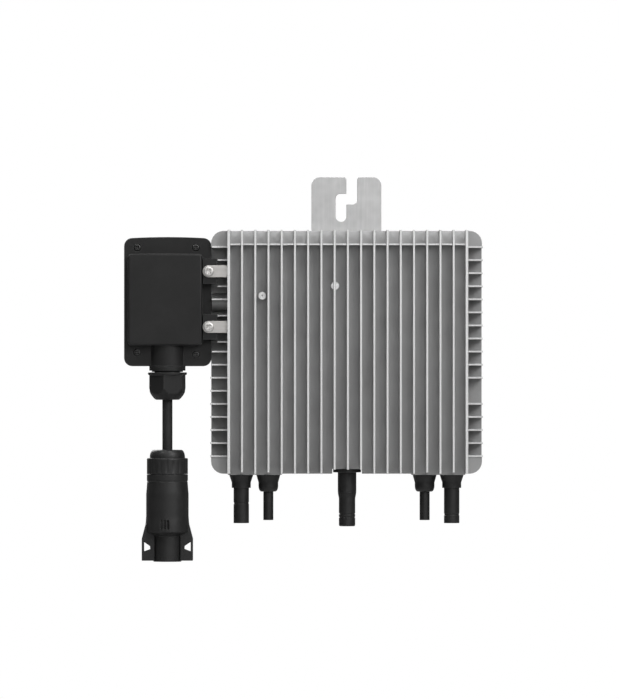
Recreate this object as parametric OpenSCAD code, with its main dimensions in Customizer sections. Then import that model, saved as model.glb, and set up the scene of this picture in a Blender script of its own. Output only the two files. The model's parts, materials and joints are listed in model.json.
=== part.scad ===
// Two-input solar microinverter with a finned heatsink case, a hanging bracket,
// four DC ports, a stub antenna and a strapped-on relay box with its AC cable.
// X runs right, Z up and -Y towards the front. The origin is the centre of the
// hanging slot's round seat, on the bracket's rear face.

/* [Housing] */
// Width of the finned housing over its flange
housing_w = 232; // [228:1:236]
// Height of the finned housing
housing_h = 208; // [206:1:210]
// Depth from the wall to the fin tips
depth = 42; // [40:0.5:44]
// Corner radius of the housing's flange
corner_r = 10.7; // [8:0.1:12]

/* [Fins] */
// Number of vertical fins, counting the two outermost
fin_count = 19; // [19:1:19]
// Distance between vertical fins
fin_pitch = 11.31; // [11.25:0.01:11.35]
// Thickness of a vertical fin at its tip
fin_t = 1.8; // [1.4:0.1:2.2]
// Number of short horizontal fins on each side
side_fin_count = 17; // [15:1:17]
// Distance between the horizontal fins
side_fin_pitch = 11.19; // [11.1:0.01:11.2]

/* [Bracket] */
// Width of the hanging bracket
bracket_w = 60; // [50:1:70]
// Width of the two hanging slots
slot_w = 9.3; // [8.5:0.1:10]
// Thickness of the bracket's sheet
bracket_t = 2; // [1.5:0.5:2]

/* [Ports] */
// Distance of the two outer DC ports from the centre line
outer_port_x = 90.2; // [89:0.1:91]
// Distance of the two inner DC ports from the centre line
inner_port_x = 67; // [66:0.1:68]
// Radius of an outer port's barrel
outer_barrel_r = 6.6; // [6.2:0.1:7]
// Radius of an inner port's barrel
inner_barrel_r = 4.3; // [4:0.1:4.6]

/* [Relay box] */
// Width of the relay box over its flange
box_w = 74.8; // [74:0.1:76]
// Height of the relay box over its flange
box_h = 110.6; // [108:0.2:112]
// Diameter of the AC cable
cable_d = 8.7; // [8:0.1:9]
// Thread pitch of the gland nut and of the connector's rear nut
thread_pitch = 1.5; // [1:0.25:2]

/* [Hidden] */
$fn = 48;

die_cast = [0.66, 0.67, 0.68];
steel = [0.78, 0.79, 0.8];
strap_metal = [0.72, 0.72, 0.69];
black_plastic = [0.18, 0.18, 0.185];
rubber = [0.1, 0.1, 0.1];
copper = [0.72, 0.45, 0.2];
brass = [0.78, 0.66, 0.36];
board_green = [0.05, 0.3, 0.16];
ferrite = [0.22, 0.22, 0.24];

// Depth levels, from the wall at 0 towards the front
fin_y = -depth;
floor_y = -30;
side_fin_y = -31;
flange_y = -11;
rim_y = -5;
cover_y = -bracket_t;
cavity_y = -27;
board_back_y = -9.6;
board_front_y = -11.2;
port_y = -17.5;

// Housing lines, from the centre line and the bottom edge
half_w = housing_w / 2;
fin_shift = 1.1;
outer_fin_t = fin_t + 0.6;
core_x0 = fin_shift - (fin_count - 1) / 2 * fin_pitch - outer_fin_t / 2;
core_x1 = fin_shift + (fin_count - 1) / 2 * fin_pitch + outer_fin_t / 2;
core_z0 = 12.4;
core_z1 = housing_h - 11.5;
fin_over = 0.7;
wall_x = 98;
cavity_z0 = 9;
cavity_z1 = core_z1 - 1.5;
antenna_x = 0.5;
slot_x = -slot_w / 2;
slot_z = 220.85;
bracket_top = 254.4;
ports = [-outer_port_x, -inner_port_x, inner_port_x, outer_port_x];
link_y = -16.5;
link_z = 147;
lug_reach = 110.8;
clamp_z = 82;
clamp_y = -22;
clamp_screw_x = [-64, -24, 24, 64];
transistor_x = [-74, -54, -34, -14, 14, 34, 54, 74];
transformer_x = 42;
transformer_z = 128;
boss_x = [-82, -17, 82];
boss_z = [30, 184];

// Relay box lines
box_x1 = -115.7;
box_x0 = box_x1 - box_w;
box_z0 = 92.1;
box_z1 = box_z0 + box_h;
box_split_y = -24;
box_face_y = -38;
rim_r = 2.2;
cable_x = -153.5;
socket_r = 9.6;
socket_z = -62;
insert_r = 9.15;
cable_y = -20;
cable_r = cable_d / 2;
strap_z = [173.3, 125.7];
strap_y = -36.5;
strap_t = 1.5;
strap_screw_x = -118;
relay_board_y = -12.6;
relay_x = [-168, -146];
relay_z = 143;
pivot_z = relay_z + 23.2;
bead_r = 0.7;
box_screws = [[-179, 193.6], [-129, 193.6], [-179.4, 104], [-129, 102]];
face_x0 = box_x0 + 3.4;
face_x1 = -123.4;

// Moves a shape from the housing's own lines to the part's origin
module place() {
    translate([-slot_x, 0, -slot_z]) children();
}

// Points of an arc, and of a rectangle with rounded corners
function arc(cx, cz, r, a0, a1, n = 6) =
    [for (i = [0:n]) let (a = a0 + (a1 - a0) * i / n) [cx + r * cos(a), cz + r * sin(a)]];

function rounded(x0, x1, z0, z1, r) = concat(
    arc(x1 - r, z1 - r, r, 0, 90), arc(x0 + r, z1 - r, r, 90, 180),
    arc(x0 + r, z0 + r, r, 180, 270), arc(x1 - r, z0 + r, r, 270, 360));

// A flat outline in X and Z, given thickness from y0 to y1
module slab(outline, y0, y1) {
    translate([0, y1, 0]) rotate([90, 0, 0]) linear_extrude(y1 - y0) polygon(outline);
}

module block(x0, x1, y0, y1, z0, z1) {
    translate([x0, y0, z0]) cube([x1 - x0, y1 - y0, z1 - z0]);
}

module rod_x(y, z, x0, x1, r) {
    translate([x0, y, z]) rotate([0, 90, 0]) cylinder(h = x1 - x0, r = r);
}

module rod_y(x, z, y0, y1, r) {
    translate([x, y1, z]) rotate([90, 0, 0]) cylinder(h = y1 - y0, r = r);
}

module rod_z(x, y, z0, z1, r) {
    translate([x, y, z0]) cylinder(h = z1 - z0, r = r);
}

// A turned shape about a vertical axis, from [radius, height] points
module turned(x, y, profile) {
    translate([x, y, 0]) rotate_extrude() polygon(profile);
}

// A quarter bend of round wire that starts upwards and ends towards +X
module elbow(bend_r, wire_r) {
    translate([bend_r, 0, 0]) rotate([-90, 0, 0]) rotate_extrude(angle = 90)
        translate([-bend_r, 0]) circle(wire_r);
}

// ---------------------------------------------------------------- housing

function fin_x(i) = fin_shift + (i - (fin_count - 1) / 2) * fin_pitch;

// Fins stop short over the ports and over the antenna's notch
function near(x, list, reach) = len([for (p = list) if (abs(x - p) < reach) p]) > 0;
function fin_z0(x) = abs(x - antenna_x) < 12.7 ? 3.7 : near(x, ports, 4) ? 1.2 : 0;

function side_fin_z(side, i) =
    194.1 - side_fin_pitch * i - (side < 0 && i > 4 && i < 8 ? 2.8 : 0);

module vertical_fins() {
    for (i = [0:fin_count - 1]) {
        x = fin_x(i);
        outermost = i == 0 || i == fin_count - 1;
        t = outermost ? outer_fin_t : fin_t;
        block(x - t / 2, x + t / 2, fin_y, flange_y, fin_z0(x), housing_h + fin_over);
    }
}

module side_fins() {
    for (side = [-1, 1]) for (i = [0:side_fin_count - 1]) {
        z = side_fin_z(side, i);
        behind_lug = side < 0 && len([for (s = strap_z) if (abs(z - s + 1.5) < 12.5) s]) > 0;
        beside_box = side < 0 && z > box_z0 - 1 && z < box_z1 + 1;
        reach = behind_lug ? lug_reach - 0.3 : beside_box ? -box_x1 - 0.3 : half_w + fin_over;
        x0 = side < 0 ? -reach : core_x1 - 1;
        x1 = side < 0 ? core_x0 + 1 : reach;
        if (!(side > 0 && i == 11)) block(x0, x1, side_fin_y, flange_y, z - 0.75, z + 0.75);
    }
}

// The core with its sloping top and bottom bands, as one outline in Y and Z
module core() {
    translate([core_x0, 0, 0]) rotate([90, 0, 90]) linear_extrude(core_x1 - core_x0) polygon([
        [rim_y, 0], [floor_y + 3, 0], [floor_y, core_z0],
        [floor_y, core_z1], [floor_y + 5, housing_h], [rim_y, housing_h]]);
}

module corner_pads() {
    intersection() {
        slab(rounded(-half_w, half_w, 0, housing_h, corner_r), floor_y, flange_y);
        for (span = [[-half_w, core_x0 + 1], [core_x1 - 1, half_w]]) {
            block(span[0], span[1], floor_y, flange_y, 0, 15);
            block(span[0], span[1], floor_y, flange_y, 194.1, housing_h);
        }
    }
}

module screw_points(list_x, list_z) {
    for (x = list_x, z = list_z) translate([x, 0, z]) children();
}

module cover_screw_places() {
    screw_points([-108, 108], [8, 70, 139, 200]) children();
}

module heatsink_housing() {
    color(die_cast) place() difference() {
        union() {
            slab(rounded(-half_w, half_w, 0, housing_h, corner_r), flange_y, rim_y);
            core();
            vertical_fins();
            side_fins();
            corner_pads();
            block(core_x0, core_x1, fin_y + 1, floor_y, core_z1 - 0.95, core_z1 + 0.55);
            for (x = ports) block(x - 11.5, x + 11.5, floor_y + 3, rim_y, -1, 1);
            rod_y(-72.1, 152.3, -38, floor_y, 3.35);
            rod_y(-9.8, 160.8, -41, floor_y, 3.45);
            rod_x(link_y, link_z, box_x1 + 0.3, -wall_x, 8);
        }
        difference() {
            block(-wall_x, wall_x, cavity_y, 0, cavity_z0, cavity_z1);
            for (x = boss_x, z = boss_z) rod_y(x, z, cavity_y - 1, board_front_y, 4);
            for (x = clamp_screw_x) rod_y(x, clamp_z, cavity_y - 1, clamp_y, 3.4);
        }
        for (x = boss_x, z = boss_z) rod_y(x, z, -20, 0, 1.5);
        for (x = clamp_screw_x) rod_y(x, clamp_z, -26, 0, 1.5);
        block(antenna_x - 12.7, antenna_x + 12.7, floor_y - 1, 0, -2, 4);
        for (x = ports) rod_z(x, port_y, -2, cavity_z0 + 1, 6);
        rod_z(antenna_x, port_y, 0, cavity_z0 + 1, 3.2);
        rod_x(link_y, link_z, -half_w - 1, -wall_x + 1, 5.5);
        cover_screw_places() rod_y(0, 0, -10, 0, 1.9);
        difference() {
            slab(rounded(-104, 104, 5, 204.8, 4), -7, 0);
            slab(rounded(-101, 101, 8, 201.8, 2), -8, 1);
        }
        rod_y(-72.1, 152.3, -39, -37, 0.7);
        for (z = strap_z) block(core_x0 - 1, core_x0 + 3, -38.1, -36.4, z - 3.1, z + 3.1);
    }
}

module back_cover() {
    color(die_cast) place() difference() {
        slab(rounded(-half_w + 2, half_w - 2, 2, housing_h - 2, 9), rim_y, cover_y);
        cover_screw_places() rod_y(0, 0, -6, 0, 2.1);
        bracket_screw_places() rod_y(0, 0, -6, 0, 2.05);
        block(antenna_x - 12.7, antenna_x + 12.7, -6, 0, 0, 4);
    }
}

module cover_gasket() {
    color(rubber) place() difference() {
        slab(rounded(-103.9, 103.9, 5.1, 204.7, 4), -6.9, rim_y);
        slab(rounded(-101.1, 101.1, 7.9, 201.9, 2), -8, 1);
    }
}

module cover_screws() {
    color(steel) place() cover_screw_places() {
        rod_y(0, 0, cover_y, -0.1, 3.6);
        rod_y(0, 0, -9.6, cover_y, 1.85);
    }
}

// ---------------------------------------------------------------- bracket

module bracket_screw_places() {
    screw_points([-21, 21], [135, 190]) children();
}

// The round-bottomed seat slot, and the entry slot beside it that opens upwards
module hanging_slots() {
    seat = concat(arc(slot_x, slot_z, slot_w / 2, 180, 360, 16),
        arc(-1, 239.1, 1, 0, 90), arc(4 - slot_w, 236.1, 4, 90, 180));
    entry = concat([[-0.5, 231.1]], arc(slot_w - 4, 235.1, 4, 270, 360),
        [[slot_w, 252.4], [slot_w + 2, 256], [-2, 256], [0, 252.4], [0, 240.1], [-0.5, 240.1]]);
    slab(seat, -5, 5);
    slab(entry, -5, 5);
}

module mounting_bracket() {
    half = bracket_w / 2;
    color(steel) place() difference() {
        slab(concat(arc(half - 7, bracket_top - 7, 7, 0, 90), arc(7 - half, bracket_top - 7, 7, 90, 180),
            [[-half, 124], [-half + 4, 120], [half - 4, 120], [half, 124]]), cover_y, 0);
        hanging_slots();
        bracket_screw_places() {
            rod_y(0, 0, -6, 1, 2.1);
            translate([0, -1.8, 0]) rotate([-90, 0, 0]) cylinder(h = 1.9, r1 = 2.1, r2 = 4);
        }
    }
}

module bracket_screws() {
    color(steel) place() bracket_screw_places() {
        rod_y(0, 0, rim_y + 0.1, -1.7, 2);
        translate([0, -1.75, 0]) rotate([-90, 0, 0]) cylinder(h = 1.65, r1 = 2.05, r2 = 3.65);
    }
}

// --------------------------------------------------------------- DC ports

// Body of an outer port: spigot, sealing flange, tapered collar and wide barrel
module outer_port(x, groove_z) {
    r = outer_barrel_r;
    groove_r = r - 0.3;
    color(black_plastic) place() turned(x, port_y, [
        [1.75, -14], [4.4, -14], [4.4, -42.4], [r, -42.4],
        [r, groove_z - 0.8], [groove_r, groove_z - 0.8], [groove_r, groove_z + 0.8], [r, groove_z + 0.8],
        [r, -12.2], [8.15, -12.2], [8.15, -7.5], [10.3, -1],
        [8.8, -1], [8.8, -2.2], [7, -2.2], [7, -1],
        [5.95, -1], [5.95, 17], [4, 17], [4, 8], [1.75, 8]]);
}

// Body of an inner port: the same spigot and flange, a rounded collar and a slim barrel
module inner_port(x) {
    r = inner_barrel_r;
    collar = [for (a = [0:15:90]) [5.95 + 2.5 * sin(a), -15.4 + 5 * (1 - cos(a))]];
    color(black_plastic) place() turned(x, port_y, concat(
        [[1.75, -16], [2.6, -16], [2.6, -39.8], [r, -39.8], [r, -15.4]], collar,
        [[8.45, -7.5], [10.3, -1], [8.8, -1], [8.8, -2.2], [7, -2.2], [7, -1],
        [5.95, -1], [5.95, 17], [4, 17], [4, 8], [1.75, 8]]));
}

module dc_contacts() {
    color(brass) place() for (x = ports) {
        rod_z(x, port_y, abs(x) > 80 ? -36 : -35, 18, 1.7);
    }
}

module dc_port_seals() {
    color(rubber) place() for (x = ports) turned(x, port_y, [
        [7.05, -2.1], [8.75, -2.1], [8.75, -1], [7.05, -1]]);
}

module dc_lock_nuts() {
    color(black_plastic) place() for (x = ports) difference() {
        translate([x, port_y, cavity_z0]) rotate(30) cylinder(h = 4, r = 8.6, $fn = 6);
        rod_z(x, port_y, cavity_z0 - 1, cavity_z0 + 5, 6);
    }
}

// Each lead rises from its contact and bends back onto the board
module dc_leads() {
    bend = 4;
    color([0.6, 0.08, 0.06]) place() for (x = ports) {
        rod_z(x, port_y, 18, 24, 1.5);
        translate([x, port_y, 24]) rotate([0, 0, 90]) elbow(bend, 1.5);
        rod_y(x, 24 + bend, port_y + bend, board_front_y, 1.5);
    }
}

// ---------------------------------------------------------------- antenna

module antenna_base() {
    color(black_plastic) place() turned(antenna_x, port_y, [
        [1.3, 14], [3.15, 14], [3.15, 4], [12, 4], [12, 1.1], [7.95, 1.1], [7.95, -15.9], [1.3, -15.9]]);
}

module antenna_sleeve() {
    groove = function(z) [[7, z + 0.35], [6.5, z + 0.35], [6.5, z - 0.35], [7, z - 0.35]];
    color(black_plastic) place() turned(antenna_x, port_y, concat(
        [[1.3, -15.9], [7.95, -15.9], [7, -21.3]], groove(-34.4), groove(-37.3),
        [[7, -44.3], [6.2, -45.1], [0, -45.1], [0, -42], [1.3, -42]]));
}

module antenna_lead() {
    bend = 3.5;
    top = 23;
    color(brass) place() {
        rod_z(antenna_x, port_y, -41.8, top, 1.2);
        translate([antenna_x, port_y, top]) rotate([0, 0, 90]) elbow(bend, 1.2);
    }
}

// -------------------------------------------------------- power electronics

module main_board() {
    color(board_green) place() difference() {
        slab(rounded(-93, 93, 22, 190, 2), board_front_y, board_back_y);
        for (x = boss_x, z = boss_z) rod_y(x, z, -13, -8, 1.7);
    }
}

module inner_screws() {
    color(steel) place() {
        for (x = boss_x, z = boss_z) {
            rod_y(x, z, board_back_y, board_back_y + 2, 2.8);
            rod_y(x, z, -19.5, board_back_y, 1.45);
        }
        for (x = clamp_screw_x) {
            rod_y(x, clamp_z, clamp_y + 1.4, clamp_y + 3.4, 2.8);
            rod_y(x, clamp_z, -25.8, clamp_y + 1.4, 1.45);
        }
    }
}

// A flat ferrite core with two windows either side of its middle leg
module transformer_core(x) {
    z = transformer_z;
    color(ferrite) place() difference() {
        slab(rounded(x - 23, x + 23, z - 20, z + 20, 1), -23, -15);
        for (side = [-1, 1])
            block(x + side * 10.25 - 4.25, x + side * 10.25 + 4.25, -24, -14, z - 13, z + 13);
    }
}

module transformer_winding(x) {
    z = transformer_z;
    color(copper) place() difference() {
        block(x - 14.2, x + 14.2, -26.6, board_front_y, z - 12.7, z + 12.7);
        block(x - 6.2, x + 6.2, -23.2, -14.8, z - 14, z + 14);
    }
}

module dc_capacitors() {
    color([0.13, 0.14, 0.2]) place() for (side = [-1, 1], i = [0:4])
        rod_y(side * (20 + 14 * i), 46, -26.5, board_front_y, 6.3);
}

module film_capacitors() {
    color([0.75, 0.68, 0.3]) place() for (x = [-70, -44, 44, 70])
        slab(rounded(x - 10, x + 10, 163, 175, 1), -25.2, board_front_y);
}

module power_transistors() {
    color(black_plastic) place() for (x = transistor_x) {
        block(x - 6, x + 6, -26.6, clamp_y, clamp_z - 8, clamp_z + 8);
        for (leg = [-3, 0, 3]) {
            block(x + leg - 0.5, x + leg + 0.5, -24.6, -24, clamp_z + 7, clamp_z + 12);
            block(x + leg - 0.5, x + leg + 0.5, -24.6, board_front_y, clamp_z + 11.4, clamp_z + 12);
        }
    }
}

module transistor_clamps() {
    color(steel) place() for (side = [-1, 1]) difference() {
        block(side * 44 - 38, side * 44 + 38, clamp_y, clamp_y + 1.4, clamp_z - 5, clamp_z + 5);
        for (x = clamp_screw_x) rod_y(x, clamp_z, clamp_y - 1, clamp_y + 2, 1.7);
    }
}

module thermal_pads() {
    color([0.45, 0.55, 0.7]) place() for (x = transistor_x)
        block(x - 6.3, x + 6.3, cavity_y, -26.6, clamp_z - 8.3, clamp_z + 8.3);
}

module ring_section(r0, r1, half_h) {
    translate([r0, -half_h]) square([r1 - r0, 2 * half_h]);
}

module choke_core() {
    color(ferrite) place() translate([0, -19, transformer_z]) rotate([90, 0, 0])
        rotate_extrude() ring_section(7.5, 12.5, 5);
}

// Two banks of turns around opposite sides of the ring core
module choke_winding() {
    color(copper) place() translate([0, -19, transformer_z]) rotate([90, 0, 0])
        for (start = [15, 195]) rotate([0, 0, start]) rotate_extrude(angle = 150) difference() {
            ring_section(5.8, 14.4, 7);
            ring_section(7.4, 12.6, 5.1);
        }
}

module fuses() {
    color(steel) place() for (side = [-1, 1]) {
        rod_x(-14.5, 60, side * 66 - 7, side * 66 + 7, 2.6);
        for (end = [-1, 1]) rod_x(-14.5, 60, side * 66 + end * 9 - 3, side * 66 + end * 9 + 3, 3.2);
    }
}

module radio_module() {
    color([0.6, 0.62, 0.64]) place() {
        slab(rounded(-11, 11, 24, 44, 1), -14, board_front_y);
        slab(rounded(-9, 9, 29, 42, 1), -16.4, -14);
    }
}

// -------------------------------------------------------------- relay box

// The box's outline, with a top edge that rises to a low crown
function crowned(x0, x1, z0, z1, r, rise) = concat(
    arc(x1 - r, z1 - r, r, 0, 90),
    [for (i = [1:7]) let (t = i / 8) [x1 - r - t * (x1 - x0 - 2 * r), z1 + rise * 4 * t * (1 - t)]],
    arc(x0 + r, z1 - r, r, 90, 180), arc(x0 + r, z0 + r, r, 180, 270), arc(x1 - r, z0 + r, r, 270, 360));

function box_outline() = crowned(box_x0, box_x1, box_z0, box_z1 - 0.8, 7, 0.8);

module relay_box_base() {
    lid_z0 = box_z0 - 0.2;
    color(black_plastic) place() difference() {
        union() {
            slab(box_outline(), box_split_y, box_split_y + 4);
            slab(rounded(box_x0 + 3, box_x1 - 3, box_z0 + 4, box_z1 - 4, 5), box_split_y, -6);
            rod_z(cable_x, cable_y, 88.3, lid_z0, 15.5);
            difference() {
                rod_z(cable_x, cable_y, lid_z0 - 0.1, 100, 15.5);
                block(cable_x - 16, cable_x + 16, -40, box_split_y, 90, 101);
            }
            for (z = strap_z) block(-122.6, -lug_reach, strap_y, box_split_y + 1, z - 10.9, z + 10.9);
        }
        difference() {
            slab(rounded(box_x0 + 6, -127, 99, 196, 4), box_split_y - 1, -9);
            for (p = box_screws) rod_y(p[0], p[1], box_split_y - 2, -8, 4);
            for (x = [-178, -134], z = [117, 186]) rod_y(x, z, -11, -8, 3);
        }
        difference() {
            slab(rounded(box_x0 + 2.2, -124, 94.3, 200.5, 6), box_split_y - 1, box_split_y + 1.5);
            slab(rounded(box_x0 + 3.8, -125.6, 95.9, 198.9, 5), box_split_y - 2, box_split_y + 2);
            for (z = strap_z) block(-122.8, -lug_reach, -40, box_split_y, z - 11, z + 11);
        }
        for (p = box_screws) rod_y(p[0], p[1], box_split_y - 1, -12, 1.55);
        for (z = strap_z) rod_y(strap_screw_x, z, strap_y - 1, -28, 2);
        rod_z(cable_x, cable_y, 87, 103, 9);
        rod_x(link_y, link_z, -128, -110, 5.5);
    }
}

// The lid's raised face, with its rim rounded towards the front
module lid_face() {
    back = box_split_y + rim_r;
    intersection() {
        slab(crowned(face_x0, face_x1, 110.1, 187.9, 3, 0.6), box_face_y, box_split_y);
        translate([0, 0, box_z0]) linear_extrude(box_h)
            polygon(rounded(face_x0, face_x1, box_face_y, back, rim_r));
        translate([box_x0, 0, 0]) rotate([90, 0, 90]) linear_extrude(box_w)
            polygon(rounded(box_face_y, back, 110.1, 188.6, rim_r));
    }
}

// The lid: a flange, the raised face and the front half of the cable neck
module relay_box_cover() {
    flange_face_y = box_split_y - 3;
    color(black_plastic) place() difference() {
        union() {
            slab(box_outline(), flange_face_y, box_split_y);
            lid_face();
            difference() {
                rod_z(cable_x, cable_y, box_z0, 112, 15.5);
                block(cable_x - 16, cable_x + 16, box_split_y, 0, box_z0 - 1, 113);
            }
        }
        slab(rounded(face_x0 + 2.8, face_x1 - 2.8, 113, 185.3, 2), box_face_y + 2.5, box_split_y + 1);
        rod_z(cable_x, cable_y, box_z0 - 1, 114, 9.2);
        for (p = box_screws) {
            rod_y(p[0], p[1], -30, 0, 1.7);
            rod_y(p[0], p[1], -50, flange_face_y + 1.6, 3.3);
        }
        for (z = strap_z) block(-122.9, -110, -60, 0, z - 11.2, z + 11.2);
    }
}

module relay_box_gasket() {
    color(rubber) place() difference() {
        slab(rounded(box_x0 + 2.3, -124.1, 94.4, 200.4, 6), box_split_y, box_split_y + 1.4);
        slab(rounded(box_x0 + 3.7, -125.5, 95.8, 199, 5), box_split_y - 1, box_split_y + 2);
        rod_z(cable_x, cable_y, 90, 102, 9.2);
    }
}

module relay_box_screws() {
    head_y = box_split_y - 3 + 1.6;
    color(steel) place() for (p = box_screws) {
        rod_y(p[0], p[1], head_y - 1.5, head_y, 3);
        rod_y(p[0], p[1], head_y, -12.2, 1.5);
    }
}

module relay_board() {
    color(board_green) place() slab(rounded(-182, -130, 113, 190, 2), relay_board_y, -11);
}

// Each open relay has an upright coil beside a tall yoke; the armature's bead rocks in the yoke's top
module relay_frames() {
    z = relay_z;
    color(steel) place() for (x = relay_x) {
        block(x - 6, x + 6, -31, relay_board_y, z, z + 2);
        difference() {
            block(x - 6, x + 6, -31, -29, z + 1, z + 22.9);
            rod_x(-30, pivot_z, x - 7, x + 7, bead_r + 0.05);
        }
        rod_z(x, -21, z + 1, z + 22.3, 2.2);
        block(x - 1.5, x + 1.5, -14.2, relay_board_y, z + 2.3, z + 21.4);
        block(x - 1.5, x + 1.5, -16.6, relay_board_y, z + 20.2, z + 21.4);
    }
}

module relay_coils() {
    color(copper) place() for (x = relay_x) difference() {
        rod_z(x, -21, relay_z + 2, relay_z + 20, 6);
        rod_z(x, -21, relay_z + 1, relay_z + 21, 2.2);
    }
}

module relay_armature(x) {
    z = pivot_z;
    color(brass) place() {
        rod_x(-30, z, x - 5.5, x + 5.5, bead_r);
        block(x - 5.5, x + 5.5, -30.5, -17.5, z, z + 1.2);
        block(x - 1.5, x + 1.5, -18, -14.6, z + 0.2, z + 1);
        rod_z(x, -15.8, z - 0.5, z + 0.5, 1);
    }
}

module terminal_block() {
    color([0.2, 0.45, 0.28]) place() difference() {
        block(cable_x - 11, cable_x + 11, -25.5, relay_board_y, 115, 128);
        for (x = [-7, 0, 7]) rod_y(cable_x + x, 122, -27, -20, 2.2);
    }
}

module link_sleeve() {
    color(black_plastic) place() difference() {
        rod_x(link_y, link_z, -127, -97, 5.45);
        rod_x(link_y, link_z, -128, -96, 4.4);
    }
}

// Three wires join the relay board to the main board through the sleeve
module link_wires() {
    bend = 3.5;
    x0 = -129;
    x1 = -93;
    color([0.55, 0.35, 0.1]) place() for (z = [-2.9, 0, 2.9]) translate([0, 0, link_z + z]) {
        rod_x(link_y, 0, x0, x1, 1.2);
        translate([x0, link_y, 0]) rotate([-90, 0, 90]) elbow(bend, 1.2);
        translate([x1, link_y, 0]) rotate([90, 0, 90]) elbow(bend, 1.2);
        rod_y(x0 - bend, 0, link_y + bend, relay_board_y, 1.2);
        rod_y(x1 + bend, 0, link_y + bend, board_front_y, 1.2);
    }
}

// ------------------------------------------------------------ cable gland

module gland_body() {
    color(black_plastic) place() turned(cable_x, cable_y, [
        [4.75, 98], [8.95, 98], [8.95, 88.3], [13.3, 88.3], [13.3, 87.2],
        [11, 87.2], [11, 70], [8, 70], [8, 80], [4.75, 80]]);
}

module gland_seal() {
    color(rubber) place() turned(cable_x, cable_y, [
        [cable_r + 0.03, 70.5], [7.9, 70.5], [7.9, 79.9], [cable_r + 0.03, 79.9]]);
}

module gland_thrust_ring() {
    color(black_plastic) place() turned(cable_x, cable_y, [
        [5.2, 66.6], [7.7, 66.6], [7.7, 70.2], [5.2, 70.2]]);
}

// Inside of a cable nut: thread bore, pocket for the thrust ring, cable exit
module nut_bore(bore_r, z_open, z_step, pocket_r, z_pocket, z_end) {
    turned(cable_x, cable_y, [
        [0, z_open], [bore_r, z_open], [bore_r, z_step], [pocket_r, z_step],
        [pocket_r, z_pocket], [5.1, z_pocket], [5.1, z_end], [0, z_end]]);
}

module gland_nut() {
    flange_r = 16.7;
    hex_r = 16.5;
    dome = [[17, 77], [16.4, 73], [15.1, 69.6], [13.4, 66.9], [11.7, 64.8], [10, 63.3]];
    color(black_plastic) place() difference() {
        union() {
            rod_z(cable_x, cable_y, 84.7, 86.8, flange_r);
            intersection() {
                translate([cable_x, cable_y, 60]) rotate(20) cylinder(h = 26, r = hex_r, $fn = 6);
                turned(cable_x, cable_y, concat([[0, 90], [17, 90]], dome, [[0, 63.3]]));
            }
        }
        nut_bore(11.08, 87, 69.6, 8.1, 66.2, 63);
    }
}

// The cable's stretch inside the gland and the box, with its three cores
module cable_tail() {
    color(rubber) place() {
        rod_z(cable_x, cable_y, 63.3, 106, cable_r);
        for (x = [-2.6, 0, 2.6]) rod_z(cable_x + x, cable_y, 105, 115, 1.15);
    }
}

// ----------------------------------------------------------------- cable

// The hanging cable's route, from the gland down into the connector
cable_route = [
    [-153.5, -20, 63.3], [-153.5, -20, 58], [-153.5, -20, 53], [-153.5, -20, 48], [-153.5, -20, 43],
    [-153.5, -20, 38], [-153.5, -20, 33], [-153.5, -20, 28], [-153.5, -20, 23], [-153.5, -20, 19],
    [-153.5, -20, 15], [-153.5, -20, 11], [-153.5, -20, 7], [-153.5, -20, 3], [-153.5, -20, -1],
    [-153.5, -20, -4]
];

function unit(v) = v / norm(v);

// One tube through every third point of a route, with flat ends
module tube_along(route, r, sides) {
    last = len(route) - 1;
    picks = [for (i = [0:3:last]) i];
    rings = [for (i = picks)
        let (ahead = unit(route[min(i + 1, last)] - route[max(i - 1, 0)]))
        let (side = unit(cross(ahead, [0, 1, 0])))
        let (up = cross(side, ahead))
        [for (k = [0:sides - 1]) route[i] + r * (cos(360 * k / sides) * side + sin(360 * k / sides) * up)]];
    count = len(rings);
    faces = concat(
        [[for (k = [0:sides - 1]) k]],
        [for (j = [0:count - 2], k = [0:sides - 1]) let (n = (k + 1) % sides)
            [j * sides + n, j * sides + k, (j + 1) * sides + k, (j + 1) * sides + n]],
        [[for (k = [sides - 1:-1:0]) (count - 1) * sides + k]]);
    polyhedron([for (ring = rings) each ring], faces);
}

module ac_cable() {
    color(rubber) place() tube_along(cable_route, cable_r, 12);
}

// ------------------------------------------------------------ AC connector

module connector_nut() {
    dome = [for (a = [0:15:90]) [11.85 + 3.25 * sin(a), 20.4 - 6.4 * (1 - cos(a))]];
    color(black_plastic) place() difference() {
        turned(cable_x, cable_y, concat([[0, 20.4]], dome, [[15.1, 13.4], [17.2, 13.2], [17.6, 12.6],
            [17.6, -0.3], [0, -0.3]]));
        nut_bore(13.08, -1, 9.6, 9.2, 14.6, 21);
    }
}

module connector_thrust_ring() {
    color(black_plastic) place() turned(cable_x, cable_y, [
        [5.2, 10.3], [8.8, 10.3], [8.8, 14.2], [5.2, 14.2]]);
}

module connector_grommet() {
    color(rubber) place() turned(cable_x, cable_y, [
        [cable_r + 0.03, -2.9], [8.95, -2.9], [8.95, 9.8], [cable_r + 0.03, 9.8]]);
}

// A wing of the latch shroud: a flat plate with a triangular window
module latch_wing(side) {
    translate([cable_x, 0, 0]) difference() {
        slab([for (p = [[11, -42], [18.6, -43.1], [21.9, -55.7], [21.9, -74.5], [11, -74.5]])
            [side * p[0], p[1]]], cable_y - 7, cable_y + 7);
        slab([for (p = [[20, -58.4], [20, -66.6], [14.6, -64.6], [14.8, -62]])
            [side * p[0], p[1]]], cable_y - 8, cable_y + 8);
    }
}

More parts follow.
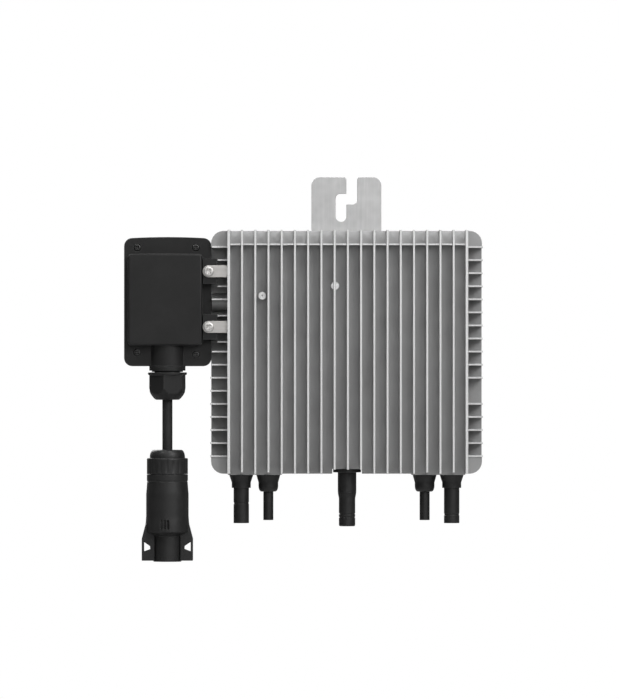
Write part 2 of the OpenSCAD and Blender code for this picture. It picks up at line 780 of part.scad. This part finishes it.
module connector_shell() {
    color(black_plastic) place() difference() {
        union() {
            turned(cable_x, cable_y, [
                [0, 9.3], [13, 9.3], [13, -0.6], [17.6, -0.6], [17.6, -6.1], [17.1, -6.3],
                [17.1, -7], [17.4, -7.2], [17.5, -9], [18.2, -17.6],
                [18.2, -36.2], [18.7, -43.5], [18.9, -50], [12.05, -53.5], [12.05, -75.4], [0, -75.4]]);
            for (side = [-1, 1]) latch_wing(side);
        }
        turned(cable_x, cable_y, [
            [0, 10], [9, 10], [9, -3], [12, -3], [12, -49], [insert_r + 0.05, -50],
            [insert_r + 0.05, socket_z], [socket_r, socket_z], [socket_r, -76], [0, -76]]);
        for (x = [-5, -2.1, 0.8])
            translate([cable_x + x, 0, 0]) block(-0.75, 0.75, -41, -36.8, -47.6, -39.6);
    }
}

// Contact insert, set back from the floor of the front socket
contact_places = [for (a = [90, 210, 330]) [4.4 * cos(a), 4.4 * sin(a)]];

module connector_insert() {
    color([0.28, 0.28, 0.29]) place() difference() {
        rod_z(cable_x, cable_y, socket_z + 0.5, -44, insert_r);
        for (p = contact_places) rod_z(cable_x + p[0], cable_y + p[1], socket_z - 1, -43, 2);
    }
}

// Socket contacts, each with the core that is crimped into it
module connector_contacts() {
    color(brass) place() for (p = contact_places) {
        x = cable_x + p[0];
        y = cable_y + p[1];
        difference() {
            rod_z(x, y, socket_z + 1, -40, 1.95);
            rod_z(x, y, socket_z, -50, 1.3);
        }
    }
}

// ----------------------------------------------------------------- straps

// A strap is round about its screw, and its tongue sits in the outermost fin
module strap(z) {
    color(strap_metal) place() difference() {
        slab(concat(arc(strap_screw_x, z, 5.15, 90, 270, 12),
            [[core_x0 - 0.2, z - 5.15], [core_x0 - 0.2, z - 3], [core_x0 + 2.3, z - 3],
            [core_x0 + 2.3, z + 3], [core_x0 - 0.2, z + 3], [core_x0 - 0.2, z + 5.15]]),
            strap_y - strap_t, strap_y);
        rod_y(strap_screw_x, z, -40, -30, 2.1);
    }
}

// Pan-head screws with a cross recess
module strap_screws() {
    head_y = strap_y - strap_t;
    color(steel) place() for (z = strap_z) {
        difference() {
            rod_y(strap_screw_x, z, head_y - 2.3, head_y, 4.35);
            translate([strap_screw_x, head_y - 2.3, z]) for (turn = [0, 90]) rotate([0, turn + 30, 0])
                cube([4.6, 2.4, 0.9], center = true);
        }
        rod_y(strap_screw_x, z, head_y, -28.2, 1.95);
    }
}

heatsink_housing();
back_cover();
cover_gasket();
cover_screws();
mounting_bracket();
bracket_screws();
outer_port(-outer_port_x, -25.2);  // dc_port_outer_left
inner_port(-inner_port_x);  // dc_port_inner_left
inner_port(inner_port_x);  // dc_port_inner_right
outer_port(outer_port_x, -35);  // dc_port_outer_right
dc_contacts();
dc_port_seals();
dc_lock_nuts();
dc_leads();
antenna_base();
antenna_sleeve();
antenna_lead();
main_board();
inner_screws();
transformer_core(-transformer_x);  // transformer_core_left
transformer_core(transformer_x);  // transformer_core_right
transformer_winding(-transformer_x);  // transformer_winding_left
transformer_winding(transformer_x);  // transformer_winding_right
dc_capacitors();
film_capacitors();
power_transistors();
transistor_clamps();
thermal_pads();
choke_core();
choke_winding();
fuses();
radio_module();
relay_box_base();
relay_box_cover();
relay_box_gasket();
relay_box_screws();
relay_board();
relay_frames();
relay_coils();
relay_armature(relay_x[0]);  // relay_armature_left
relay_armature(relay_x[1]);  // relay_armature_right
terminal_block();
link_sleeve();
link_wires();
gland_body();
gland_seal();
gland_thrust_ring();
gland_nut();
cable_tail();
ac_cable();
connector_nut();
connector_thrust_ring();
connector_grommet();
connector_shell();
connector_insert();
connector_contacts();
strap(strap_z[0]);  // strap_upper
strap(strap_z[1]);  // strap_lower
strap_screws();
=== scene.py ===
"""Looks for the solar microinverter: materials, fine detail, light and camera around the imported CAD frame."""

import json
import math

import bmesh
import bpy
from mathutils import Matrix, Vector


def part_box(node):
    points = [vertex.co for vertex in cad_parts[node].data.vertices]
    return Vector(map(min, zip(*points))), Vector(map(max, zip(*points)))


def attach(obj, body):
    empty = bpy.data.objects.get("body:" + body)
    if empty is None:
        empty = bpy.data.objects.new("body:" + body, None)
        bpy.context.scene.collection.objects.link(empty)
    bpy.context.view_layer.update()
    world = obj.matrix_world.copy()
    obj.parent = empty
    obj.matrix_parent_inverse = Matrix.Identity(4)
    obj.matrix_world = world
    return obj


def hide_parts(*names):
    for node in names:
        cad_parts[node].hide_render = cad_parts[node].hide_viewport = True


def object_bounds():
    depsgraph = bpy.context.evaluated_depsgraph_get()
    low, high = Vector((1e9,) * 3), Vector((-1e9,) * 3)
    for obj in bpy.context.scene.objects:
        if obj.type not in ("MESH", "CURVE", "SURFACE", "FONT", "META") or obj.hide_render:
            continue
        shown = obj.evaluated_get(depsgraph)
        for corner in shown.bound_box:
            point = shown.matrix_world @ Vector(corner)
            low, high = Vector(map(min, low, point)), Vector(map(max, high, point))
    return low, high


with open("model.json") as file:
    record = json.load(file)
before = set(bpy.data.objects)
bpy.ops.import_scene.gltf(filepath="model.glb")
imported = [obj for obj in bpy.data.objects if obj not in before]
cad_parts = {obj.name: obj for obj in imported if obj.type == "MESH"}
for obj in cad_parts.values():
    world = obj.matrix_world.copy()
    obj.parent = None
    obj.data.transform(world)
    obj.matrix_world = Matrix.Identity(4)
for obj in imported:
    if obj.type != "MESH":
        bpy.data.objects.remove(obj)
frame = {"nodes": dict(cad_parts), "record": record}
cad_lo, cad_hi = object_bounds()
MM = 0.001


# ------------------------------------------------------------------ places

def middle(node):
    """The centre of a CAD node's box."""
    lo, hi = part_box(node)
    return (lo + hi) / 2


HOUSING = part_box("heatsink_housing")
CABLE = middle("ac_cable")


# ------------------------------------------------------------------ camera

PHOTO_WIDTH = 530.5 * MM
CAMERA_DISTANCE = 8.0
SENSOR = 36.0
FRAME_RATIO = 699 / 619
AIM_SHIFT = Vector((5.2, 0, 16.9)) * MM


def make_camera():
    """A long lens that looks straight at the front, framed with the object a little low and left."""
    aim = (cad_lo + cad_hi) / 2 + AIM_SHIFT
    data = bpy.data.cameras.new("camera")
    data.sensor_width = SENSOR
    data.lens = SENSOR * CAMERA_DISTANCE / (PHOTO_WIDTH * FRAME_RATIO)
    data.clip_end = 50
    camera = bpy.data.objects.new("camera", data)
    camera.location = (aim.x, aim.y - CAMERA_DISTANCE, aim.z)
    camera.rotation_euler = (math.pi / 2, 0, 0)
    bpy.context.scene.collection.objects.link(camera)
    bpy.context.scene.camera = camera


# --------------------------------------------------------------- materials

RANGE_SOCKETS = ("From Min", "From Max", "To Min", "To Max")
EDGE_SOFTNESS = 0.12
FIN_TIP_DEPTH = 11.5 * MM


class Look:
    """A procedural material: a Principled shader and the nodes that feed it."""

    def __init__(self, name, roughness=0.5, metallic=0.0, specular=0.5):
        self.material = bpy.data.materials.new(name)
        self.material.use_nodes = True
        self.tree = self.material.node_tree
        self.shader = self.tree.nodes["Principled BSDF"]
        self.set("Roughness", roughness)
        self.set("Metallic", metallic)
        self.set("Specular IOR Level", specular)
        self.where = self.add("ShaderNodeTexCoord").outputs["Object"]
        self.normal = None

    def add(self, kind, **settings):
        node = self.tree.nodes.new(kind)
        for key, value in settings.items():
            setattr(node, key, value)
        return node

    def link(self, source, target):
        self.tree.links.new(source, target)

    def feed(self, target, value):
        """Gives a node's input a number, a colour or another node's output."""
        if isinstance(value, bpy.types.NodeSocket):
            self.link(value, target)
        else:
            target.default_value = value

    def set(self, socket, value):
        self.feed(self.shader.inputs[socket], value)

    def placed(self, stretch=(1, 1, 1)):
        """Object coordinates, stretched along the axes."""
        if stretch == (1, 1, 1):
            return self.where
        mapping = self.add("ShaderNodeMapping")
        self.link(self.where, mapping.inputs["Vector"])
        mapping.inputs["Scale"].default_value = stretch
        return mapping.outputs["Vector"]

    def noise(self, scale, detail=2.0, stretch=(1, 1, 1), rough=0.5):
        node = self.add("ShaderNodeTexNoise")
        self.link(self.placed(stretch), node.inputs["Vector"])
        node.inputs["Scale"].default_value = scale
        node.inputs["Detail"].default_value = detail
        node.inputs["Roughness"].default_value = rough
        return node.outputs["Fac"]

    def cells(self, scale, feature="F1"):
        node = self.add("ShaderNodeTexVoronoi", feature=feature)
        self.link(self.where, node.inputs["Vector"])
        node.inputs["Scale"].default_value = scale
        return node.outputs["Distance"]

    def waves(self, scale, axis):
        node = self.add("ShaderNodeTexWave", bands_direction=axis)
        self.link(self.where, node.inputs["Vector"])
        node.inputs["Scale"].default_value = scale
        return node.outputs["Fac"]

    def spread(self, value, low, high, out_low, out_high):
        """Maps a value from one range to another and stops at the ends."""
        node = self.add("ShaderNodeMapRange")
        self.link(value, node.inputs["Value"])
        for key, number in zip(RANGE_SOCKETS, (low, high, out_low, out_high)):
            node.inputs[key].default_value = number
        return node.outputs["Result"]

    def mix(self, share, a, b):
        """Blends two colours by a share."""
        node = self.add("ShaderNodeMix", data_type="RGBA")
        self.feed(node.inputs[0], share)
        self.feed(node.inputs[6], a)
        self.feed(node.inputs[7], b)
        return node.outputs[2]

    def edges(self, radius):
        """1 along sharp and rounded edges, 0 on flat stretches."""
        rounded = self.add("ShaderNodeBevel", samples=4)
        rounded.inputs["Radius"].default_value = radius
        flat = self.add("ShaderNodeNewGeometry").outputs["Normal"]
        dot = self.add("ShaderNodeVectorMath", operation="DOT_PRODUCT")
        self.link(rounded.outputs["Normal"], dot.inputs[0])
        self.link(flat, dot.inputs[1])
        return self.spread(dot.outputs["Value"], 1.0, 1.0 - EDGE_SOFTNESS, 0.0, 1.0)

    def front_faces(self, limit):
        """1 on faces that look to the front and lie ahead of a depth."""
        place, way = self.add("ShaderNodeSeparateXYZ"), self.add("ShaderNodeSeparateXYZ")
        self.link(self.where, place.inputs[0])
        self.link(self.add("ShaderNodeTexCoord").outputs["Normal"], way.inputs[0])
        both = self.add("ShaderNodeMath", operation="MULTIPLY")
        self.link(self.spread(place.outputs["Y"], limit, limit + 0.2 * MM, 1.0, 0.0), both.inputs[0])
        self.link(self.spread(way.outputs["Y"], -0.95, -0.8, 1.0, 0.0), both.inputs[1])
        return both.outputs[0]

    def bump(self, height, depth):
        """Adds relief of that depth in metres."""
        node = self.add("ShaderNodeBump")
        node.inputs["Strength"].default_value = 1.0
        node.inputs["Distance"].default_value = depth
        self.link(height, node.inputs["Height"])
        if self.normal:
            self.link(self.normal, node.inputs["Normal"])
        self.normal = node.outputs["Normal"]
        self.set("Normal", self.normal)


def grey(value, warm=0.0):
    return (value * (1 + warm), value, value * (1 - warm), 1.0)


def cast_metal(name, tone, painted_tip_light=None):
    """Blasted die-cast aluminium: fine grain, faint flow marks, edges lightened as a painted highlight, and fin
    tips painted much lighter than the channel floors as painted shade in the channels.
    """
    look = Look(name, metallic=0.45, specular=0.4)
    clouds = look.spread(look.noise(22, 3), 0.3, 0.7, 0.0, 1.0)
    base = look.mix(clouds, grey(tone * 0.93), grey(tone * 1.05))
    # painted shade: front faces ahead of the fin-tip depth take a much lighter tone, so the channel floors
    # between the fins read as shaded
    if painted_tip_light:
        base = look.mix(look.front_faces(HOUSING[0].y + FIN_TIP_DEPTH), base, grey(painted_tip_light))
    grain = look.spread(look.noise(1500, 2), 0.3, 0.7, 0.0, 1.0)
    base = look.mix(grain, base, look.mix(0.5, base, grey(tone * 0.8)))
    # painted highlight: edges are lightened
    base = look.mix(look.edges(0.5 * MM), base, grey(min(1.0, tone * 1.6)))
    look.set("Base Color", base)
    look.set("Roughness", look.spread(look.noise(60, 4), 0.3, 0.7, 0.42, 0.58))
    look.bump(look.noise(260, 3), 0.03 * MM)
    look.bump(look.noise(2200, 2), 0.02 * MM)
    return look.material


def sheet_metal(name, tone, warm=0.0, grain=(1, 1, 0.05)):
    """Zinc-coated sheet with a rolled grain, a faint spangle and fine scratches."""
    look = Look(name, metallic=1.0)
    spangle = look.spread(look.cells(140), 0.0, 0.8, 0.0, 1.0)
    base = look.mix(spangle, grey(tone * 0.95, warm), grey(tone * 1.05, warm))
    rolled = look.spread(look.noise(500, 3, grain), 0.35, 0.65, 0.0, 1.0)
    base = look.mix(rolled, base, look.mix(0.35, base, grey(tone * 0.8, warm)))
    look.set("Base Color", base)
    look.set("Roughness", look.spread(look.noise(90, 4), 0.3, 0.7, 0.34, 0.5))
    look.bump(look.noise(500, 3, grain), 0.008 * MM)
    return look.material


def plastic(name, tone, roughness=0.5, grain=900, depth=0.02, specular=0.35, painted_edge_highlight=(0.4, 2.2)):
    """Moulded black plastic: spark-eroded grain, flow clouds and edges lightened as a painted highlight, given
    as a radius and a gain.
    """
    look = Look(name, specular=specular)
    clouds = look.spread(look.noise(35, 3), 0.3, 0.7, 0.0, 1.0)
    base = look.mix(clouds, grey(tone * 0.85), grey(tone * 1.15))
    # painted highlight: edges are lightened by the gain within the radius
    base = look.mix(look.edges(painted_edge_highlight[0] * MM), base, grey(tone * painted_edge_highlight[1]))
    look.set("Base Color", base)
    rough = look.spread(look.noise(120, 4), 0.3, 0.7, roughness - 0.08, roughness + 0.08)
    look.set("Roughness", rough)
    look.bump(look.noise(grain, 3, rough=0.6), depth * MM)
    return look.material


def rubber(name, tone, lines=False):
    """Soft black rubber; a cable's jacket also shows faint lines along it from the die."""
    look = Look(name, specular=0.3)
    base = look.mix(look.spread(look.noise(150, 3), 0.3, 0.7, 0, 1), grey(tone * 0.8), grey(tone * 1.25))
    look.set("Base Color", base)
    look.set("Roughness", look.spread(look.noise(300, 2), 0.3, 0.7, 0.55, 0.72))
    stretch = (1, 1, 0.03) if lines else (1, 1, 1)
    look.bump(look.noise(900, 2, stretch), 0.03 * MM)
    return look.material


def brass(name, color):
    look = Look(name, metallic=1.0)
    tarnish = look.spread(look.noise(250, 4), 0.35, 0.7, 0.0, 1.0)
    look.set("Base Color", look.mix(tarnish, color, tuple(c * 0.7 for c in color[:3]) + (1.0,)))
    look.set("Roughness", look.spread(look.noise(400, 3), 0.3, 0.7, 0.22, 0.4))
    look.bump(look.noise(1200, 2, (1, 1, 0.1)), 0.01 * MM)
    return look.material


def wound_wire(name, color):
    """Enamelled wire laid turn by turn, with painted shade in the grooves between turns."""
    look = Look(name, roughness=0.32, metallic=0.85)
    turns = look.waves(420, "Z")
    # painted shade: the colour darkens in the valleys between turns
    look.set("Base Color", look.mix(turns, tuple(c * 0.35 for c in color[:3]) + (1.0,), color))
    look.bump(turns, 0.25 * MM)
    return look.material


def laminate(name, color):
    """Solder-masked board with a pattern of tracks under the mask."""
    look = Look(name, roughness=0.35)
    tracks = look.spread(look.cells(170, "DISTANCE_TO_EDGE"), 0.02, 0.05, 0.0, 1.0)
    dark = tuple(c * 0.6 for c in color[:3]) + (1.0,)
    look.set("Base Color", look.mix(tracks, color, dark))
    look.bump(tracks, 0.03 * MM)
    return look.material


def coated(name, color, roughness=0.45, metallic=0.0):
    """A plain coloured part with a little grain and unevenness."""
    look = Look(name, metallic=metallic)
    clouds = look.spread(look.noise(130, 3), 0.3, 0.7, 0.0, 1.0)
    light = tuple(min(1.0, c * 1.15) for c in color[:3]) + (1.0,)
    dark = tuple(c * 0.8 for c in color[:3]) + (1.0,)
    look.set("Base Color", look.mix(clouds, dark, light))
    look.set("Roughness", look.spread(look.noise(500, 2), 0.3, 0.7, roughness - 0.06, roughness + 0.06))
    look.bump(look.noise(1300, 2), 0.015 * MM)
    return look.material


LOOKS = {
    "die_cast": cast_metal("die_cast_metal", 0.31, 0.72),
    "cover_plate": cast_metal("cover_plate_metal", 0.36),
    "bracket_steel": sheet_metal("bracket_sheet", 0.5),
    "screw_steel": sheet_metal("screw_metal", 0.62, 0.02),
    "dark_screw_steel": sheet_metal("dark_screw_metal", 0.06),
    "strap_steel": sheet_metal("strap_sheet", 0.5, 0.03, (0.05, 1, 1)),
    # the lid gets a wide, strong painted highlight along its rim edges
    "box_plastic": plastic("box_plastic_black", 0.0125, specular=0.22, painted_edge_highlight=(1.0, 4.0)),
    "port_plastic": plastic("port_plastic_black", 0.010, 0.45, 1400, 0.012),
    "connector_plastic": plastic("connector_plastic_black", 0.011, 0.48, 1200, 0.015),
    "insert_plastic": plastic("insert_plastic_grey", 0.05, 0.5),
    "contact_brass": brass("contact_metal", (0.72, 0.6, 0.32, 1.0)),
    "seal_rubber": rubber("seal_rubber_black", 0.012),
    "cable_jacket": rubber("jacket_rubber_black", 0.012, lines=True),
    "board_laminate": laminate("board_green", (0.02, 0.12, 0.06, 1.0)),
    "ferrite": coated("ferrite_grey", (0.05, 0.05, 0.055, 1.0), 0.6),
    "copper_wire": wound_wire("enamelled_wire", (0.6, 0.26, 0.1, 1.0)),
    "capacitor_can": coated("capacitor_sleeve", (0.03, 0.04, 0.09, 1.0), 0.35),
    "film_case": coated("film_capacitor_case", (0.55, 0.42, 0.08, 1.0), 0.35),
    "device_epoxy": coated("device_black", (0.02, 0.02, 0.02, 1.0), 0.55),
    "thermal_pad": coated("pad_blue_grey", (0.25, 0.32, 0.45, 1.0), 0.7),
    "shield_can": sheet_metal("shield_sheet", 0.6),
    "fuse_body": coated("fuse_ceramic", (0.7, 0.66, 0.58, 1.0), 0.3),
    "lead_insulation": coated("lead_red", (0.35, 0.03, 0.025, 1.0), 0.45),
    "terminal_plastic": coated("terminal_green", (0.05, 0.2, 0.09, 1.0), 0.45),
}


# ------------------------------------------------------------- CAD surfaces

ROUNDING = {
    "heatsink_housing": 0.25, "back_cover": 0.5, "mounting_bracket": 0.35,
    "relay_box_cover": 0.25, "relay_box_base": 0.25, "gland_nut": 0.6, "connector_nut": 0.5,
    "connector_shell": 0.5, "strap_upper": 0.3, "strap_lower": 0.3,
    "antenna_base": 0.4, "antenna_sleeve": 0.3,
}
SMALL_ROUNDING = 0.2
SHARP = math.radians(32)
FLAT = math.radians(0.3)


def dress(node, look, rounding):
    """Gives a CAD node its material, and rounds its sharp edges without touching its vertices."""
    node.data.materials.clear()
    node.data.materials.append(look)
    for polygon in node.data.polygons:
        polygon.use_smooth = True
    node.modifiers.new("weld", "WELD").merge_threshold = 1e-6
    flat = node.modifiers.new("flat", "DECIMATE")
    flat.decimate_type = "DISSOLVE"
    flat.angle_limit = FLAT
    bevel = node.modifiers.new("round", "BEVEL")
    bevel.width = rounding * MM
    bevel.segments = 3
    bevel.limit_method = "ANGLE"
    bevel.angle_limit = SHARP
    bevel.use_clamp_overlap = False
    even = node.modifiers.new("even", "WEIGHTED_NORMAL")
    even.weight = 100
    even.keep_sharp = False


def dress_nodes():
    slots = {s["node"]: s["material_slot"] for s in frame["record"]["subparts"]}
    for name, node in frame["nodes"].items():
        dress(node, LOOKS[slots[name]], ROUNDING.get(name, SMALL_ROUNDING))


# ------------------------------------------------------------ turned pieces

PIECE_SHARP = math.radians(35)
CROSS_SHARE = 0.62
CROSS_DEPTH = 1.3 * MM
DOME_SHARE = 0.55
DOME_STEPS = 6
FLUTES = 20
FLUTE_DEPTH = 0.4


def solids(node):
    """The boxes of a CAD node's separate solids, from left to right."""
    mesh = frame["nodes"][node].data
    groups = {}

    def root(key):
        while groups[key] != key:
            key = groups[key]
        return key

    keys = [tuple(round(c, 5) for c in v.co) for v in mesh.vertices]
    for key in keys:
        groups.setdefault(key, key)
    for polygon in mesh.polygons:
        first, *others = [root(keys[i]) for i in polygon.vertices]
        for other in others:
            groups[root(other)] = root(first)
    boxes = {}
    for key in groups:
        boxes.setdefault(root(key), []).append(key)
    found = [(Vector([min(c) for c in zip(*b)]), Vector([max(c) for c in zip(*b)]))
             for b in boxes.values()]
    return sorted(found, key=lambda box: box[0].x)


def turn(mesh, profile, centre, along, sides=72):
    """Adds a turned solid from points of radius, height, depth of cut and number of cuts round it."""
    side = Vector((1, 0, 0))
    up = along.cross(side)
    rings = []
    for radius, height, depth, lobes in profile:
        if radius == 0:
            rings.append([mesh.verts.new(centre + along * height)] * sides)
            continue
        ring = []
        for k in range(sides):
            angle = math.tau * k / sides
            cut = depth * max(0.0, math.cos(lobes * angle)) ** 2 if lobes else 0.0
            way = math.cos(angle) * side + math.sin(angle) * up
            ring.append(mesh.verts.new(centre + along * height + (radius - cut) * way))
        rings.append(ring)
    for low, high in zip(rings, rings[1:]):
        for k in range(sides):
            n = (k + 1) % sides
            corners = list(dict.fromkeys((low[k], low[n], high[n], high[k])))
            if len(corners) > 2:
                mesh.faces.new(corners)


def finish_piece(name, mesh, look, node, body="root"):
    """Turns the mesh into a piece that stands for a CAD node and rides its body."""
    bmesh.ops.recalc_face_normals(mesh, faces=mesh.faces)
    data = bpy.data.meshes.new(name)
    mesh.to_mesh(data)
    mesh.free()
    for polygon in data.polygons:
        polygon.use_smooth = True
    data.set_sharp_from_angle(angle=PIECE_SHARP)
    data.materials.append(LOOKS[look])
    piece = bpy.data.objects.new(name, data)
    bpy.context.scene.collection.objects.link(piece)
    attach(piece, body)
    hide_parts(node)


def make_screws(node, look, facing, seat, shank):
    """Cross-head screws in place of a node's plain ones; the seat is the Y of the head's underside."""
    mesh = bmesh.new()
    for lo, hi in solids(node):
        centre = (lo + hi) / 2
        centre.y = seat
        radius = (hi.x - lo.x) / 2
        height = abs((lo.y if facing < 0 else hi.y) - seat)
        end = -abs((hi.y if facing < 0 else lo.y) - seat)
        cross = radius * CROSS_SHARE
        land = cross * 1.15
        depth = min(height * 0.7, CROSS_DEPTH)
        rim = height * (1 - DOME_SHARE)
        profile = [(0, height - depth, 0, 0), (cross * 0.55, height - depth * 0.9, cross * 0.3, 4),
                   (cross, height, cross * 0.62, 4)]
        for step in range(DOME_STEPS + 1):
            angle = math.pi / 2 * step / DOME_STEPS
            r = land + (radius - land) * math.sin(angle)
            profile.append((r, rim + (height - rim) * math.cos(angle), 0, 0))
        profile += [(radius, 0.0, 0, 0), (shank, 0.0, 0, 0), (shank, end, 0, 0), (0, end, 0, 0)]
        turn(mesh, profile, centre, Vector((0, facing, 0)))
    finish_piece(node + "_crosshead", mesh, look, node)


def make_connector_nut():
    """The connector's rear nut, in millimetres above its lower end, with grip flutes round its collar."""
    lo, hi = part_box("connector_nut")
    centre = (lo + hi) / 2
    centre.z = lo.z
    collar = (hi.x - lo.x) / 2 / MM
    height = (hi.z - lo.z) / MM
    thread_r = 13.08
    thread_top = 9.9
    pocket_r = 9.2
    pocket_top = 14.9
    exit_r = 5.1
    crown_r = 11.85
    crown_round = 3.25
    crown_drop = 6.4
    outside = [(collar, 0, 0, 0), (collar, 0.8, 0, 0), (collar, 1.6, FLUTE_DEPTH, FLUTES),
               (collar, 11.2, FLUTE_DEPTH, FLUTES), (collar, 12.2, 0, 0), (collar, 12.8, 0, 0),
               (collar - 0.4, 13.5, 0, 0), (crown_r + crown_round, 13.8, 0, 0)]
    crown = []
    for degrees in range(90, -1, -10):
        angle = math.radians(degrees)
        z = height - crown_drop * (1 - math.cos(angle))
        crown.append((crown_r + crown_round * math.sin(angle), z, 0, 0))
    inside = [(exit_r, height, 0, 0), (exit_r, pocket_top, 0, 0), (pocket_r, pocket_top, 0, 0),
              (pocket_r, thread_top, 0, 0), (thread_r, thread_top, 0, 0), (thread_r, 0, 0, 0),
              (collar, 0, 0, 0)]
    profile = [(r * MM, z * MM, d * MM, n) for r, z, d, n in outside + crown + inside]
    mesh = bmesh.new()
    turn(mesh, profile, centre, Vector((0, 0, 1)), sides=160)
    bmesh.ops.remove_doubles(mesh, verts=mesh.verts, dist=1e-7)
    finish_piece("connector_nut_fluted", mesh, "connector_plastic", "connector_nut", "connector_nut")


# -------------------------------------------------------------------- cord

CABLE_DIAMETER = 8.7 * MM
CABLE_HEIGHTS = [63.3, 58, 53, 48, 43, 38, 33, 28, 23, 19, 15, 11, 7, 3, -1, -4]


def make_cable():
    """The AC cable, straight down from the gland into the connector."""
    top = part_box("ac_cable")[1].z
    curve = bpy.data.curves.new("ac_cable_jacket", "CURVE")
    curve.dimensions = "3D"
    curve.bevel_depth = CABLE_DIAMETER / 2
    curve.bevel_resolution = 10
    curve.use_fill_caps = True
    spline = curve.splines.new("POLY")
    spline.points.add(len(CABLE_HEIGHTS) - 1)
    for point, height in zip(spline.points, CABLE_HEIGHTS):
        point.co = (CABLE.x, CABLE.y, top + (height - CABLE_HEIGHTS[0]) * MM, 1)
    cable = bpy.data.objects.new("ac_cable_jacket", curve)
    bpy.context.scene.collection.objects.link(cable)
    curve.materials.append(LOOKS["cable_jacket"])
    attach(cable, "root")
    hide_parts("ac_cable")


# ------------------------------------------------------------ floor, lights

FLOOR_REACH = 6.0
FLOOR_DROP = 0.7
WORLD_LOW = 0.02
WORLD_HIGH = 0.3


def make_floor():
    """A pale floor well below the hanging object; to the camera it fades to white with distance."""
    mesh = bpy.data.meshes.new("floor")
    z = cad_lo.z - FLOOR_DROP
    corners = [(x * FLOOR_REACH, y * FLOOR_REACH, z) for x, y in ((-1, -1), (1, -1), (1, 1), (-1, 1))]
    mesh.from_pydata(corners, [], [(0, 1, 2, 3)])
    floor = bpy.data.objects.new("floor", mesh)
    bpy.context.scene.collection.objects.link(floor)
    look = Look("floor_paint", roughness=0.8)
    look.set("Base Color", look.mix(look.noise(3, 2), grey(0.6), grey(0.66)))
    away = look.add("ShaderNodeVectorMath", operation="LENGTH")
    look.link(look.where, away.inputs[0])
    seen = look.add("ShaderNodeMath", operation="MULTIPLY")
    look.link(look.add("ShaderNodeLightPath").outputs["Is Camera Ray"], seen.inputs[0])
    look.link(look.spread(away.outputs["Value"], 0.9, 3.2, 0.0, 1.0), seen.inputs[1])
    pale = look.add("ShaderNodeEmission")
    both = look.add("ShaderNodeMixShader")
    look.link(seen.outputs[0], both.inputs[0])
    look.link(look.shader.outputs[0], both.inputs[1])
    look.link(pale.outputs[0], both.inputs[2])
    look.link(both.outputs[0], look.tree.nodes["Material Output"].inputs["Surface"])
    mesh.materials.append(look.material)


def make_world():
    """A white backdrop; the light it gives is dim, and brightest from above."""
    world = bpy.data.worlds.new("studio")
    world.use_nodes = True
    tree = world.node_tree
    where = tree.nodes.new("ShaderNodeTexCoord").outputs["Generated"]
    split = tree.nodes.new("ShaderNodeSeparateXYZ")
    tree.links.new(where, split.inputs[0])
    height = tree.nodes.new("ShaderNodeMapRange")
    tree.links.new(split.outputs["Z"], height.inputs["Value"])
    for key, value in zip(RANGE_SOCKETS, (-0.5, 0.9, WORLD_LOW, WORLD_HIGH)):
        height.inputs[key].default_value = value
    seen = tree.nodes.new("ShaderNodeLightPath").outputs["Is Camera Ray"]
    strength = tree.nodes.new("ShaderNodeMix")
    tree.links.new(seen, strength.inputs[0])
    tree.links.new(height.outputs["Result"], strength.inputs[2])
    strength.inputs[3].default_value = 1.0
    background = tree.nodes["Background"]
    background.inputs["Color"].default_value = (1, 1, 1, 1)
    tree.links.new(strength.outputs[0], background.inputs["Strength"])
    bpy.context.scene.world = world


def area_light(name, place, size, power):
    """A soft lamp that faces the housing."""
    data = bpy.data.lights.new(name, "AREA")
    data.energy = power
    data.shape = "DISK"
    data.size = size
    lamp = bpy.data.objects.new(name, data)
    lamp.location = place
    lamp.rotation_euler = (middle("heatsink_housing") - Vector(place)).to_track_quat("-Z", "Y").to_euler()
    bpy.context.scene.collection.objects.link(lamp)


def make_lights():
    area_light("key", (1.5, -2.0, 1.1), 1.3, 46)
    area_light("front", (0.1, -2.6, 0.5), 1.4, 9)
    area_light("top", (0.25, -0.7, 1.5), 0.7, 12)
    area_light("corner", (-0.7, -0.7, 0.9), 0.3, 6)
    area_light("rear", (-0.9, 1.8, 1.0), 1.4, 40)


make_camera()
make_connector_nut()
make_cable()
dress_nodes()
make_screws("strap_screws", "screw_steel", -1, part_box("strap_upper")[0].y, 1.95 * MM)
make_screws("relay_box_screws", "dark_screw_steel", -1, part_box("relay_box_screws")[0].y + 1.5 * MM, 1.5 * MM)
make_screws("cover_screws", "screw_steel", 1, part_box("back_cover")[1].y, 1.85 * MM)
make_floor()
make_world()
make_lights()
bpy.context.scene.view_settings.view_transform = "Standard"
